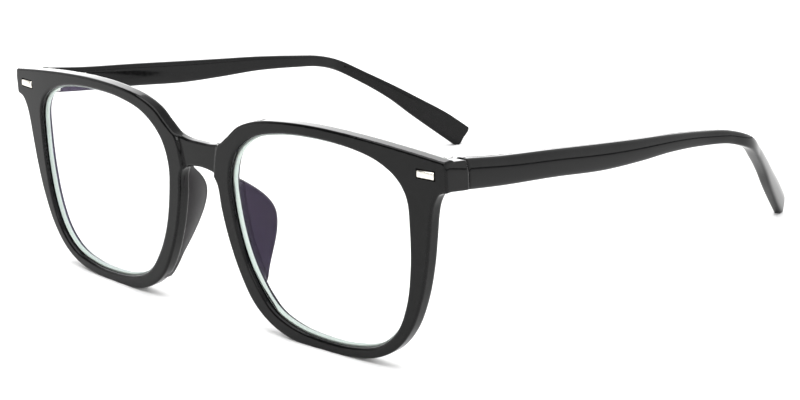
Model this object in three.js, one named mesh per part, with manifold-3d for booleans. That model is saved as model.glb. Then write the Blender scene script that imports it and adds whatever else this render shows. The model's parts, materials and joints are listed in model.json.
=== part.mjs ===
// Blue light glasses: a bowed plastic front with two lenses, moulded nose pads and rivet plaques,
// and two temples that fold on three-knuckle barrel hinges.
//
// Everything is drawn in the front's own frame, in millimetres: x to the wearer's left, y back from
// the front face at the bridge, z up. The left side is drawn and the right side is its mirror image.
// A last step stands the glasses on the floor, on the rims and the temple tips, and centres them.

import * as THREE from 'three';
import { mergeVertices } from 'three/addons/utils/BufferGeometryUtils.js';
import Module from 'manifold-3d';

const wasm = await Module();
wasm.setup();

// ---- driving dimensions, mm -----------------------------------------------------------------

const GAP = 0.3; // clearance between pieces that bear on each other

// Front: an outline extruded to one depth and bowed backwards, y = BOW x^2.
const FRONT_DEPTH = 3.4;
const BOW = 0.00075;
// Section of the rim, from its face to its back: how far the outer side and the lip are drawn in.
const RIM_SECTION = [
  { y: 0, outer: 0.55, lip: 0.9 },
  { y: 0.2, outer: 0.15, lip: 0.3 },
  { y: 0.6, outer: 0, lip: 0 },
  { y: 2.3, outer: 0.1, lip: 0 },
  { y: 3.0, outer: 0.5, lip: 0.1 },
  { y: FRONT_DEPTH, outer: 1.0, lip: 0.4 },
];
const END_X = 72.6; // outer side of the end piece
const END_TOP = 23.6;
const END_BOTTOM = 17.4;
const BRIDGE_STEP = 0.8; // the bridge face lies this far behind the rim faces
const BRIDGE_SLOPE = 0.7; // width of the slope between them

// Lens: a thin shell, spherical over the front's bow, with a V edge that sits in the rim's groove.
const LENS_CENTRE = new THREE.Vector2(36.6, 1.2);
const LENS_SET_BACK = 0.6; // of its middle, behind the rim face
const LENS_RADIUS = 600;
const LENS_THICKNESS = 1.2;
const LENS_TUCK = 0.4; // the lens faces end this far inside the rim's lip
const LENS_V = 0.55; // and the V edge reaches this far outside it

// Hinge: a vertical pin inboard of the end piece.
const HINGE = new THREE.Vector3(66.7, 10.8, 19.7);
const BARREL_R = 1.5;
const BARREL_HEIGHT = 4.8;
const BARREL_BORE_R = 0.85;
const KNUCKLE_GAP = 0.2;
const INNER_FACE = 1.7; // inner face of end piece and temple, outboard of the pin
const LEAF = 0.9; // thickness of both leaves
const SEAT_Y = 6.0; // flat seat milled into the back of the front for the front leaf
const SEAM = 0.15; // half the gap between end piece and temple

// Screws.
const PIN_R = 0.6;
const PIN_HEAD_R = 1.1;
const SMALL_R = 0.5;
const SMALL_HEAD_R = 0.95;
const SMALL_HEAD = 0.45;
const SMALL_DEPTH = 2.3; // into the plastic
const LEAF_HOLE_GAP = 0.2; // between their shanks and the holes in the leaves

// Plaque: a bar with two pins, let into the front face of the end piece.
const PLAQUE = { x: 67.35, z: 20.6, width: 4.3, height: 1.6, depth: 1.0, proud: 0.35, pinR: 0.4, pin: 1.3 };

// Temple: centre line and section sizes. It falls gently, bends down behind the ear while its plan
// curves inwards, and widens to a paddle.
const TEMPLE_LINE = [
  // y, z, height, thickness, x of the outer face
  [10.3, 19.7, 6.5, 3.9, 72.3],
  [22, 17.6, 6.2, 3.7, 72.3],
  [38, 15.25, 5.95, 3.5, 72.4],
  [54, 12.7, 5.9, 3.3, 72.4],
  [67, 11.1, 5.1, 3.2, 72.25],
  [80, 9.7, 4.05, 3.1, 71.75],
  [93, 7.7, 3.45, 3.1, 71.25],
  [103, 5.7, 3.2, 3.1, 71.4],
  [111, 2.65, 3.2, 3.1, 71.35],
  [118.5, -2.15, 3.4, 3.1, 68.5],
  [126, -7.5, 4.2, 3, 65.35],
  [133, -13.2, 5.6, 2.9, 62.45],
  [140, -18.8, 6.65, 2.7, 59.65],
  [146.4, -24.3, 6.8, 2.4, 57.15],
];
const TEMPLE_STATIONS = 28;
const TEMPLE_SECTION = 16; // points round a section

// Stance: the floor touches the bottoms of the rims and the lower corners of the temple tips.
const REST_RIM = new THREE.Vector2(2.4, -23.55); // y, z
const REST_TIP = new THREE.Vector2(144.4, -26.45);

// ---- outlines -------------------------------------------------------------------------------

const v2 = (pairs) => pairs.map(([x, y]) => new THREE.Vector2(x, y));

/** Points spread evenly along a smooth curve through the given ones. */
function through(points, count, closed = false) {
  const knots = points.map((p) => new THREE.Vector3(p.x, p.y, 0));
  const curve = new THREE.CatmullRomCurve3(knots, closed, 'centripetal');
  curve.arcLengthDivisions = 600;
  const out = curve.getSpacedPoints(count).map((p) => new THREE.Vector2(p.x, p.y));
  return closed ? out.slice(0, -1) : out;
}

// From the middle of the bridge along the top to the end piece.
const TOP_EDGE = v2([[0, 17.1], [4, 17.2], [7.6, 18], [10.6, 20.1], [14.2, 22.9],
  [20, 25], [28, 26.05], [38, 26.4], [50, 25.9], [62, 24.85], [END_X, END_TOP]]);
// From the end piece down the temple side, along the bottom and up to the bridge.
const LOWER_EDGE = v2([[END_X, END_BOTTOM], [70.4, 16.8], [69, 14.8], [68.2, 12], [67.5, 7],
  [66.5, 0.5], [64.6, -7], [61.5, -14], [57, -19.2], [51, -22.3], [43, -23.6], [35, -23.8],
  [27, -23.3], [20.5, -21], [15.5, -17], [11.8, -11], [9, -4], [7.2, 3], [6.3, 8.6],
  [4.8, 10.5], [2.5, 11.1], [0, 11.3]]);
// The lip of the left aperture, from the top over the temple side.
const LIP = v2([[37.3, 23.9], [48, 23.1], [55.1, 21.3], [59.7, 18.4], [61.9, 14.8], [62.4, 8],
  [62.1, 0], [60.6, -8.5], [57.6, -15], [52.5, -19.2], [45, -21.1], [36.5, -21.4], [28, -20.4],
  [21.5, -17.7], [16.5, -11.8], [13.2, -5], [11.2, 3], [10.6, 10.5], [12.8, 16.5],
  [18.5, 21.1], [27, 23.3]]);
// The bridge's recessed face: its edge climbs beside the nose side of the rim.
const BRIDGE_EDGE = v2([[14.6, 27], [13.6, 24.6], [10, 20.6], [7.3, 16.8], [5.9, 11], [5.2, 7]]);

const lipPoints = through(LIP, 50, true);

/** A closed outline moved outwards by a distance. */
function grown(outline, distance) {
  const n = outline.length;
  const turn = Math.sign(THREE.ShapeUtils.area(outline));
  return outline.map((p, i) => {
    const along = outline[(i + 1) % n].clone().sub(outline[(i + n - 1) % n]).normalize();
    return new THREE.Vector2(p.x + turn * along.y * distance, p.y - turn * along.x * distance);
  });
}

// ---- geometry helpers -----------------------------------------------------------------------

/** A geometry with positions and merged vertices only. */
function bare(geometry) {
  const copy = geometry.clone();
  for (const name of Object.keys(copy.attributes)) {
    if (name !== 'position') copy.deleteAttribute(name);
  }
  return mergeVertices(copy, 1e-5);
}

function toSolid(geometry) {
  const merged = bare(geometry);
  return new wasm.Manifold(new wasm.Mesh({
    numProp: 3,
    vertProperties: Float32Array.from(merged.attributes.position.array),
    triVerts: Uint32Array.from(merged.index.array),
  }));
}

function toGeometry(solid) {
  const mesh = solid.getMesh();
  const geometry = new THREE.BufferGeometry();
  geometry.setAttribute('position', new THREE.Float32BufferAttribute(mesh.vertProperties, 3));
  geometry.setIndex(new THREE.BufferAttribute(mesh.triVerts, 1));
  return geometry;
}

const join = (...pieces) => pieces.map(toSolid).reduce((whole, piece) => whole.add(piece));
const cut = (body, ...tools) => tools.reduce((left, tool) => left.subtract(toSolid(tool)), body);

/** A solid skin over rings of equally many points, with a point or a flat fan at each end. */
function loft(rings) {
  const n = rings[0].length;
  const points = rings.flat();
  const index = [];
  for (let r = 0; r + 1 < rings.length; r += 1) {
    for (let i = 0; i < n; i += 1) {
      const a = r * n + i;
      const b = r * n + ((i + 1) % n);
      index.push(a, b, b + n, a, b + n, a + n);
    }
  }
  const middle = (ring) => ring.reduce((sum, p) => sum.add(p), new THREE.Vector3()).divideScalar(n);
  const last = (rings.length - 1) * n;
  const start = points.push(middle(rings[0])) - 1;
  const end = points.push(middle(rings[rings.length - 1])) - 1;
  for (let i = 0; i < n; i += 1) {
    const next = (i + 1) % n;
    index.push(start, next, i, end, last + i, last + next);
  }
  const geometry = new THREE.BufferGeometry().setFromPoints(points);
  geometry.setIndex(index);
  return outward(geometry);
}

/** Turns a closed geometry so that its faces point out. */
function outward(geometry) {
  const p = geometry.attributes.position;
  const index = geometry.index.array;
  const corner = (i) => new THREE.Vector3().fromBufferAttribute(p, index[i]);
  let volume = 0;
  for (let i = 0; i < index.length; i += 3) {
    volume += corner(i).dot(corner(i + 1).cross(corner(i + 2)));
  }
  if (volume < 0) flip(geometry);
  return geometry;
}

function flip(geometry) {
  const index = geometry.index.array;
  for (let i = 0; i < index.length; i += 3) {
    [index[i + 1], index[i + 2]] = [index[i + 2], index[i + 1]];
  }
}

/** The mirror image on the wearer's right. */
function mirrored(geometry) {
  const copy = bare(geometry);
  copy.scale(-1, 1, 1);
  flip(copy);
  return copy;
}

/** Bows the whole front: every point moves back by BOW x^2. */
function bowed(geometry) {
  const p = geometry.attributes.position;
  for (let i = 0; i < p.count; i += 1) p.setY(i, p.getY(i) + BOW * p.getX(i) ** 2);
  return geometry;
}

/** Extrudes an x, z shape backwards from y = 0, its outline staying the largest section. */
function plate(shape, depth, round, segments) {
  const geometry = new THREE.ExtrudeGeometry(shape, {
    depth: depth - 2 * round,
    bevelThickness: round,
    bevelSize: round,
    bevelOffset: -round,
    bevelSegments: segments,
  });
  geometry.rotateX(Math.PI / 2); // the shape's y becomes z, and its depth becomes -y
  geometry.translate(0, depth - round, 0);
  return bare(geometry);
}

/** A plate of x, z outlines whose sides follow a section, with flat faces at front and back. */
function profiledPlate(outer, holes, section) {
  const layers = section.map((step) => [
    grown(outer, -step.outer),
    ...holes.map((hole) => grown(hole, step.lip)),
  ]);
  const perLayer = layers[0].reduce((sum, loop) => sum + loop.length, 0);
  const points = layers.flatMap((loops, i) => {
    return loops.flat().map((p) => new THREE.Vector3(p.x, section[i].y, p.y));
  });
  const index = [];
  for (let l = 0; l + 1 < layers.length; l += 1) {
    let start = l * perLayer;
    for (const loop of layers[l]) {
      for (let i = 0; i < loop.length; i += 1) {
        const a = start + i;
        const b = start + ((i + 1) % loop.length);
        index.push(a, b, b + perLayer, a, b + perLayer, a + perLayer);
      }
      start += loop.length;
    }
  }
  const cap = (layer, base, reversed) => {
    for (const [a, b, c] of THREE.ShapeUtils.triangulateShape(layer[0], layer.slice(1))) {
      index.push(base + a, base + (reversed ? c : b), base + (reversed ? b : c));
    }
  };
  cap(layers[0], 0, true);
  cap(layers[layers.length - 1], (layers.length - 1) * perLayer, false);
  const geometry = new THREE.BufferGeometry().setFromPoints(points);
  geometry.setIndex(index);
  return outward(geometry);
}

/** A box between two corners. */
function block(x0, x1, y0, y1, z0, z1) {
  const geometry = new THREE.BoxGeometry(x1 - x0, y1 - y0, z1 - z0);
  geometry.translate((x0 + x1) / 2, (y0 + y1) / 2, (z0 + z1) / 2);
  return geometry;
}

/** A solid of revolution about +z from [radius, height] pairs that start and end on the axis. */
function turned(profile, segments = 20) {
  return outward(bare(new THREE.LatheGeometry(v2(profile), segments).rotateX(Math.PI / 2)));
}

/** A round bar about +z from one height to another. */
const bar = (r, z0, z1, segments = 20) => turned([[0, z0], [r, z0], [r, z1], [0, z1]], segments);

// ---- front ----------------------------------------------------------------------------------

/** The front before it is cut: its outline runs anticlockwise, and its holes clockwise. */
function frontSlab() {
  const half = [...through(TOP_EDGE, 26), ...through(LOWER_EDGE, 46)];
  const other = half.slice(1, -1).reverse().map((p) => new THREE.Vector2(-p.x, p.y));
  const rightLip = lipPoints.map((p) => new THREE.Vector2(-p.x, p.y));
  const outer = [...half, ...other].reverse();
  return bowed(profiledPlate(outer, [lipPoints, [...rightLip].reverse()], RIM_SECTION));
}

const RETURN_START = 4.6; // y, inside the front's depth at the end piece
const RETURN_INSET = 0.1; // keeps the start of the return inside the front's outline
const RETURN_LEVEL = 5; // y from which the return falls
const RETURN_FALL = -0.16; // in line with the temple
const RETURN_ROUND = 0.45;

/** The end piece's return: it runs back from the front to the seam with the temple. */
function endReturn() {
  const seam = HINGE.y - SEAM;
  const fall = RETURN_FALL * (seam - RETURN_LEVEL);
  const side = new THREE.Shape(v2([
    [RETURN_START, END_TOP - RETURN_INSET], [RETURN_START, END_BOTTOM + RETURN_INSET],
    [seam, END_BOTTOM + fall], [seam, END_TOP + fall],
  ]));
  const inner = HINGE.x + INNER_FACE;
  const round = RETURN_ROUND;
  const geometry = new THREE.ExtrudeGeometry(side, {
    depth: END_X - inner - 2 * round,
    bevelThickness: round,
    bevelSize: round,
    bevelOffset: -round,
    bevelSegments: 2,
  });
  // The side view's first axis becomes y and its second z, and its depth becomes x.
  geometry.applyMatrix4(new THREE.Matrix4().set(0, 0, 1, inner + round, 1, 0, 0, 0, 0, 1, 0, 0, 0, 0, 0, 1));
  return bare(geometry);
}

/** The lens, or with extra > 0 the space that its groove needs. */
function lens(extra = 0) {
  const faceRim = grown(lipPoints, extra - LENS_TUCK);
  const vRim = grown(lipPoints, extra + LENS_V);
  const depthAt = (p) => LENS_SET_BACK + p.distanceToSquared(LENS_CENTRE) / (2 * LENS_RADIUS);
  const scaled = (t, y) => faceRim.map((p) => {
    const q = LENS_CENTRE.clone().lerp(p, t);
    return new THREE.Vector3(q.x, depthAt(q) + y, q.y);
  });
  const front = -extra;
  const back = LENS_THICKNESS + extra;
  const steps = [0.04, 0.35, 0.7, 1];
  const apex = vRim.map((p) => new THREE.Vector3(p.x, depthAt(p) + LENS_THICKNESS / 2, p.y));
  return bowed(loft([
    ...steps.map((t) => scaled(t, front)),
    apex,
    ...steps.reverse().map((t) => scaled(t, back)),
  ]));
}

/** Moves a piece drawn on the front face at x = z = 0 to the plaque's place on the bowed face. */
function ontoEndPiece(geometry) {
  geometry.rotateZ(Math.atan(2 * BOW * PLAQUE.x));
  geometry.translate(PLAQUE.x, BOW * PLAQUE.x ** 2, PLAQUE.z);
  return geometry;
}

const plaquePinX = PLAQUE.width / 4;

function plaque() {
  const w = PLAQUE.width / 2;
  const h = PLAQUE.height / 2;
  const face = plate(new THREE.Shape(v2([[-w, -h], [w, -h], [w, h], [-w, h]])), PLAQUE.depth, 0.25, 1);
  face.translate(0, -PLAQUE.proud, 0);
  const back = PLAQUE.depth - PLAQUE.proud;
  const pins = [-plaquePinX, plaquePinX].map((x) => {
    return bar(PLAQUE.pinR, back - 0.3, back + PLAQUE.pin, 12).rotateX(-Math.PI / 2).translate(x, 0, 0);
  });
  return ontoEndPiece(toGeometry(join(face, ...pins)));
}

function plaqueRecess() {
  const w = PLAQUE.width / 2 + GAP;
  const h = PLAQUE.height / 2 + GAP;
  const floor = PLAQUE.depth - PLAQUE.proud + GAP;
  const pins = [-plaquePinX, plaquePinX].map((x) => {
    const hole = bar(PLAQUE.pinR + GAP, floor - 0.2, floor + PLAQUE.pin, 12);
    return hole.rotateX(-Math.PI / 2).translate(x, 0, 0);
  });
  return ontoEndPiece(toGeometry(join(block(-w, w, -1, floor, -h, h), ...pins)));
}

/** The bridge's front face is set back from the rims, with a sloping step at each side. */
function bridgeRecess() {
  const edge = through(BRIDGE_EDGE, 12);
  const other = edge.map((p) => new THREE.Vector2(-p.x, p.y)).reverse();
  const depth = 4; // more than enough to reach out in front of the bowed face
  const tool = plate(new THREE.Shape([...edge, ...other].reverse()), depth, BRIDGE_SLOPE, 1);
  return tool.translate(0, BRIDGE_STEP - depth, 0);
}

const leafScrewZ = [HINGE.z - 1.55, HINGE.z + 1.55];
const leafScrewX = 63.9;

const FRONT_LEAF_REACH = 4.1; // inboard of the pin

function frontLeafSeat() {
  const half = BARREL_HEIGHT / 2 + GAP;
  const inboard = HINGE.x - FRONT_LEAF_REACH - GAP;
  return block(inboard, HINGE.x + INNER_FACE, SEAT_Y, HINGE.y + 1.2, HINGE.z - half, HINGE.z + half);
}

function frontFrame() {
  const screwHole = (z) => {
    const hole = bar(SMALL_R + GAP, -SMALL_DEPTH - GAP, 1, 12).rotateX(-Math.PI / 2);
    return hole.translate(leafScrewX, SEAT_Y, z);
  };
  const leftTools = [lens(GAP), plaqueRecess(), frontLeafSeat(), ...leafScrewZ.map(screwHole)];
  const body = join(frontSlab(), endReturn(), mirrored(endReturn()));
  return cut(body, bridgeRecess(), ...leftTools, ...leftTools.map(mirrored));
}

// ---- nose pads ------------------------------------------------------------------------------

const PAD_TOP = 10.4;
const PAD_BOTTOM = -19;
const PAD_Z = [PAD_TOP, 9.6, 8.2, 6.2, 3.6, 0.4, -3.2, -7, -10.6, -13.8, -16.6, PAD_BOTTOM];
const PAD_REACH = 8.3; // of its fullest part, behind the rim
const PAD_FULL_Z = 0.5;
const PAD_FLARE = 3.0; // the pad's back edge lies this far outboard of its foot
const PAD_EDGE_R = 1.1;
const PAD_FOOT = 0.9; // reach at its top and bottom ends
const PAD_INSET = { nose: 0.35, lip: 0.5 }; // of its foot, from the two edges of the rim
const PAD_TURN = 0.25; // radians by which the round of its back edge leans outboard

/** x of the front's nose side, or of the lip, at a height. */
function xAt(outline, z) {
  for (let i = 0; i + 1 < outline.length; i += 1) {
    const [a, b] = [outline[i], outline[i + 1]];
    if ((a.y - z) * (b.y - z) <= 0 && a.y !== b.y) return a.x + ((z - a.y) / (b.y - a.y)) * (b.x - a.x);
  }
  throw new Error(`no crossing at ${z}`);
}

function nosePad() {
  const nose = v2([[5.3, 12], [6.3, 8.6], [7.2, 3], [9, -4], [11.8, -11], [15.5, -17], [18.6, -20]]);
  const lip = v2([[11, 13], [10.6, 10.5], [11.2, 3], [13.2, -5], [16.5, -11.8], [21.5, -17.7], [24, -20]]);
  const noseCurve = through(nose, 60);
  const lipCurve = through(lip, 60);
  const rings = PAD_Z.map((z) => {
    // The reach swells quickly below the top and fades slowly to the bottom.
    const below = (z - PAD_BOTTOM) / (PAD_FULL_Z - PAD_BOTTOM);
    const above = (PAD_TOP - z) / (PAD_TOP - PAD_FULL_Z);
    const swell = z > PAD_FULL_Z ? Math.sin((above * Math.PI) / 2) : below * below * (3 - 2 * below);
    const reach = PAD_FOOT + (PAD_REACH - PAD_FOOT) * swell;
    const inner = xAt(noseCurve, z) + PAD_INSET.nose;
    const outer = xAt(lipCurve, z) - PAD_INSET.lip;
    const foot = FRONT_DEPTH + GAP + BOW * outer ** 2;
    const r = Math.min(PAD_EDGE_R, reach / 2, (outer - inner) / 2);
    const tip = new THREE.Vector2(inner + r + PAD_FLARE * swell, foot + reach - r);
    const ring = [new THREE.Vector3(inner, foot, z)];
    for (let i = 0; i <= 8; i += 1) {
      const a = Math.PI - (i / 8) * Math.PI - PAD_TURN;
      ring.push(new THREE.Vector3(tip.x + r * Math.cos(a), tip.y + r * Math.sin(a), z));
    }
    ring.push(new THREE.Vector3(outer, foot, z));
    return ring;
  });
  return loft(rings);
}

// ---- hinge ----------------------------------------------------------------------------------

const knuckleHeight = (BARREL_HEIGHT - 2 * KNUCKLE_GAP) / 3;
/** Bottom of the nth knuckle from below, relative to the pin's middle. */
const knuckleZ = (n) => -BARREL_HEIGHT / 2 + n * (knuckleHeight + KNUCKLE_GAP);

/** One knuckle about the pin, with an arm between two corners that ties it to its leaf. */
function knuckle(n, x0, x1, y0, y1) {
  const z = knuckleZ(n);
  return join(bar(BARREL_R, z, z + knuckleHeight, 24), block(x0, x1, y0, y1, z, z + knuckleHeight));
}

const toPin = (geometry) => geometry.translate(HINGE.x, HINGE.y, HINGE.z);

function frontLeaf() {
  const y = SEAT_Y + GAP - HINGE.y;
  const half = BARREL_HEIGHT / 2;
  const base = block(-FRONT_LEAF_REACH, INNER_FACE - GAP, y, y + LEAF, -half, half);
  const holes = leafScrewZ.map((z) => {
    const hole = bar(SMALL_R + LEAF_HOLE_GAP, -2, 2, 12).rotateX(-Math.PI / 2);
    return hole.translate(leafScrewX - HINGE.x, y, z - HINGE.z);
  });
  const body = toSolid(base).add(knuckle(0, -1, 1, y + 0.3, 0)).add(knuckle(2, -1, 1, y + 0.3, 0));
  return toPin(toGeometry(cut(body, bar(BARREL_BORE_R, -half - 1, half + 1), ...holes)));
}

const TEMPLE_SLOPE = 0.165; // fall of the temple per length, near the hinge
const templeScrewAt = [4.4, 8.2]; // back from the pin, along the leaf
const TEMPLE_LEAF = { from: 1.8, to: 10.3, half: 1.6 };

/** Tilts a piece drawn level beside the pin to run along the falling temple. */
const alongTemple = (geometry) => geometry.rotateX(-Math.atan(TEMPLE_SLOPE));

function templeLeaf() {
  const outer = INNER_FACE - GAP;
  const { from, to, half } = TEMPLE_LEAF;
  const strip = block(outer - LEAF, outer, from, to, -half, half);
  const holes = templeScrewAt.map((y) => {
    return bar(SMALL_R + LEAF_HOLE_GAP, -2, 4, 12).rotateY(Math.PI / 2).translate(0, y, 0);
  });
  const leaf = alongTemple(toGeometry(cut(toSolid(strip), ...holes)));
  const arm = knuckle(1, outer - LEAF, outer, 0, TEMPLE_LEAF.from + 0.4);
  const body = cut(toSolid(leaf).add(arm), bar(BARREL_BORE_R, -4, 4));
  return toPin(toGeometry(body));
}

/** A slotted screw along +z with its head's underside at z = 0. */
function screw(r, headR, head, length) {
  const body = turned([[0, -length], [r * 0.6, -length], [r, -length + r * 0.5], [r, 0],
    [headR, 0], [headR, head * 0.6], [headR * 0.75, head], [0, head]], 16);
  const slot = block(-headR * 2, headR * 2, -0.12, 0.12, head * 0.45, head * 2);
  return toGeometry(cut(toSolid(body), slot));
}

/** The hinge screw drops in from above and ends in the lowest knuckle. */
function hingeScrew() {
  const top = BARREL_HEIGHT / 2 + 0.1;
  return toPin(screw(PIN_R, PIN_HEAD_R, 0.55, BARREL_HEIGHT - 0.3).translate(0, 0, top));
}

function frontLeafScrew(z) {
  const geometry = screw(SMALL_R, SMALL_HEAD_R, SMALL_HEAD, LEAF + 2 * GAP + SMALL_DEPTH - GAP);
  return geometry.rotateX(-Math.PI / 2).translate(leafScrewX, SEAT_Y + GAP + LEAF + 0.1, z);
}

function templeLeafScrew(y) {
  const geometry = screw(SMALL_R, SMALL_HEAD_R, SMALL_HEAD, LEAF + GAP + SMALL_DEPTH - GAP);
  geometry.rotateY(-Math.PI / 2).translate(INNER_FACE - GAP - LEAF - 0.1, y, 0);
  return toPin(alongTemple(geometry));
}

// ---- temple ---------------------------------------------------------------------------------

/** Two columns of TEMPLE_LINE, from the given one on, as a smooth curve along the temple. */
function templeCurve(column) {
  const knots = TEMPLE_LINE.map((row) => new THREE.Vector3(row[0], row[column], row[column + 1]));
  const curve = new THREE.CatmullRomCurve3(knots, false, 'centripetal');
  return (t) => curve.getPoint(t);
}

const lineAndHeight = templeCurve(1); // y, z, height
const thicknessAndOuter = templeCurve(3); // y, thickness, x of the outer face

/** A rounded-rectangle section, squarer for a larger power. */
function sectionPoint(i, halfWidth, halfHeight, power) {
  const a = (2 * Math.PI * (i + 0.5)) / TEMPLE_SECTION;
  const soft = (c) => Math.sign(c) * Math.abs(c) ** (2 / power);
  return [halfWidth * soft(Math.cos(a)), halfHeight * soft(Math.sin(a))];
}

function templeBlank() {
  const rings = [];
  const centre = (t) => {
    const { x: y, y: z } = lineAndHeight(t);
    const { y: thickness, z: outer } = thicknessAndOuter(t);
    return new THREE.Vector3(outer - thickness / 2, y, z);
  };
  for (let s = 0; s <= TEMPLE_STATIONS; s += 1) {
    const t = s / TEMPLE_STATIONS;
    const c = centre(t);
    const step = 0.002;
    const along = centre(Math.min(1, t + step)).sub(centre(Math.max(0, t - step))).normalize();
    if (s === 0) along.set(0, 1, 0); // the butt is square to the end piece
    const out = new THREE.Vector3(along.y, -along.x, 0).normalize();
    const up = out.clone().cross(along);
    const power = 5 - 1.2 * Math.min(1, t * 4);
    const ring = [];
    for (let i = 0; i < TEMPLE_SECTION; i += 1) {
      const [a, b] = sectionPoint(i, thicknessAndOuter(t).y / 2, lineAndHeight(t).z / 2, power);
      ring.push(c.clone().addScaledVector(out, a).addScaledVector(up, b));
    }
    rings.push(ring);
  }
  // The tip closes over a short rounded end.
  const end = rings[rings.length - 1];
  const middle = end.reduce((sum, p) => sum.add(p), new THREE.Vector3()).divideScalar(end.length);
  const push = rings[rings.length - 1][0].clone().sub(rings[rings.length - 2][0]).normalize();
  for (const [inset, reach] of [[0.93, 0.3], [0.78, 0.55]]) {
    rings.push(end.map((p) => middle.clone().lerp(p, inset).addScaledVector(push, reach)));
  }
  return loft(rings);
}

function temple() {
  const seam = HINGE.y + SEAM;
  const inner = HINGE.x + INNER_FACE;
  const holes = templeScrewAt.map((y) => {
    const hole = bar(SMALL_R + GAP, 0, SMALL_DEPTH + GAP + INNER_FACE, 12).rotateY(Math.PI / 2);
    return toPin(alongTemple(hole.translate(0, y, 0)));
  });
  // Nothing of the blank stays in front of the seam, or inboard of its inner face beside the leaf.
  const beforeSeam = block(60, 80, 0, seam, 10, 30);
  const besideLeaf = block(60, inner, 0, 22, 8, 30);
  return cut(toSolid(templeBlank()), beforeSeam, besideLeaf, ...holes);
}

// ---- stance ---------------------------------------------------------------------------------

const lean = Math.atan2(REST_RIM.y - REST_TIP.y, REST_TIP.x - REST_RIM.x);
const stand = new THREE.Matrix4().makeRotationX(lean);
const touch = new THREE.Vector3(0, REST_RIM.x, REST_RIM.y).applyMatrix4(stand);
const LENGTH_MIDDLE = 74.366; // half way between the bridge's front face and the tips
stand.premultiply(new THREE.Matrix4().makeTranslation(0, -LENGTH_MIDDLE, -touch.z));

/** Takes off what would sink into the floor, which leaves small flats to rest on. */
function onFloor(solid) {
  const floor = block(-100, 100, -120, 120, -20, 0);
  floor.applyMatrix4(stand.clone().invert());
  return toGeometry(cut(solid, floor));
}

// ---- assembly -------------------------------------------------------------------------------

const plastic = { color: 0x0b0b0c, roughness: 0.12, metalness: 0 };
const satin = { color: 0x141415, roughness: 0.4, metalness: 0 };
const clear = { color: 0xf2f7f4, roughness: 0.03, metalness: 0, transparent: true, opacity: 0.25 };
const silver = { color: 0xd8d4cb, roughness: 0.22, metalness: 1 };
const nickel = { color: 0xb9b8b4, roughness: 0.3, metalness: 1 };
const steel = { color: 0xc9c9c9, roughness: 0.25, metalness: 1 };

const glasses = new THREE.Group();

function add(name, geometry, look) {
  const flat = bare(geometry);
  flat.applyMatrix4(stand);
  flat.computeVertexNormals();
  const mesh = new THREE.Mesh(flat, new THREE.MeshStandardMaterial(look));
  mesh.name = name;
  glasses.add(mesh);
}

/** Adds a piece that the wearer's left side has, and its mirror image on the right. */
function addPair(name, geometry, look) {
  add(`${name}_left`, geometry, look);
  add(`${name}_right`, mirrored(geometry), look);
}

add('front_frame', onFloor(frontFrame()), plastic);
addPair('lens', lens(), clear);
addPair('nose_pad', nosePad(), satin);
addPair('rivet_plaque', plaque(), silver);
addPair('temple', onFloor(temple()), plastic);
addPair('hinge_front_leaf', frontLeaf(), nickel);
addPair('hinge_temple_leaf', templeLeaf(), nickel);
addPair('hinge_screw', hingeScrew(), steel);
addPair('front_leaf_screw_lower', frontLeafScrew(leafScrewZ[0]), steel);
addPair('front_leaf_screw_upper', frontLeafScrew(leafScrewZ[1]), steel);
addPair('temple_leaf_screw_front', templeLeafScrew(templeScrewAt[0]), steel);
addPair('temple_leaf_screw_rear', templeLeafScrew(templeScrewAt[1]), steel);

export default glasses;
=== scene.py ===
"""Blue light glasses: the looks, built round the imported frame.

Shapes are drawn in the front's own frame, in millimetres, as the CAD model is: x to the wearer's left,
y back from the bridge's front face, z up. The left hinge's pin and axis then give the move that stands
the glasses on the floor. Each piece replaces the CAD node that it refines and rides on that node's body.
"""
import json
import math

import bmesh
import bpy
import numpy as np
from mathutils import Matrix, Vector

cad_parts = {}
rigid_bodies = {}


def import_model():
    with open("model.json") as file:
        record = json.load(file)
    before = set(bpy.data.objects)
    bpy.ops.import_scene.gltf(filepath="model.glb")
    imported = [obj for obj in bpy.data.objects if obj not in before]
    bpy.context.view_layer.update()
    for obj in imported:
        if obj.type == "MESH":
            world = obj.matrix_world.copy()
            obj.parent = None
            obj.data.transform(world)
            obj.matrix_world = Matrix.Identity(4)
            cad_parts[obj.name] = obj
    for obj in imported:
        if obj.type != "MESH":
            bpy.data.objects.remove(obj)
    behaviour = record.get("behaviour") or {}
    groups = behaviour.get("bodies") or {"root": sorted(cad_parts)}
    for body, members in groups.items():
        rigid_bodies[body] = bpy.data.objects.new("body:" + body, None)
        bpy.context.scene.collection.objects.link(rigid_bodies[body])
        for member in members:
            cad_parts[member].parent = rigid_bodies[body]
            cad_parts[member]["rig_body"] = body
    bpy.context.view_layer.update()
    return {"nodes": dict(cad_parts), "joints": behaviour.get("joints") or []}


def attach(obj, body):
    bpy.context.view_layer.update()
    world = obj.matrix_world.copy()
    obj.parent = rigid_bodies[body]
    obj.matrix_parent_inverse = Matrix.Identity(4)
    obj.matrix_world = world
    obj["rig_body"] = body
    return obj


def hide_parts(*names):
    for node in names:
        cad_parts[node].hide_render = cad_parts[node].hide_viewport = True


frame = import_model()

MM = 0.001
LEFT, RIGHT = 1, -1

# ---- driving dimensions, mm, in the front's frame ------------------------------------------------

FRONT_DEPTH = 3.4
BOW = 0.00075
END_X, END_TOP, END_BOTTOM = 72.6, 23.6, 17.4
BRIDGE_STEP = 0.8
PIN = np.array([66.7, 10.8, 19.7])
INNER_FACE = 1.7  # of end piece and temple, outboard of the pin
SEAM = 0.15
SEAT_Y = 6.0

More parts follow.
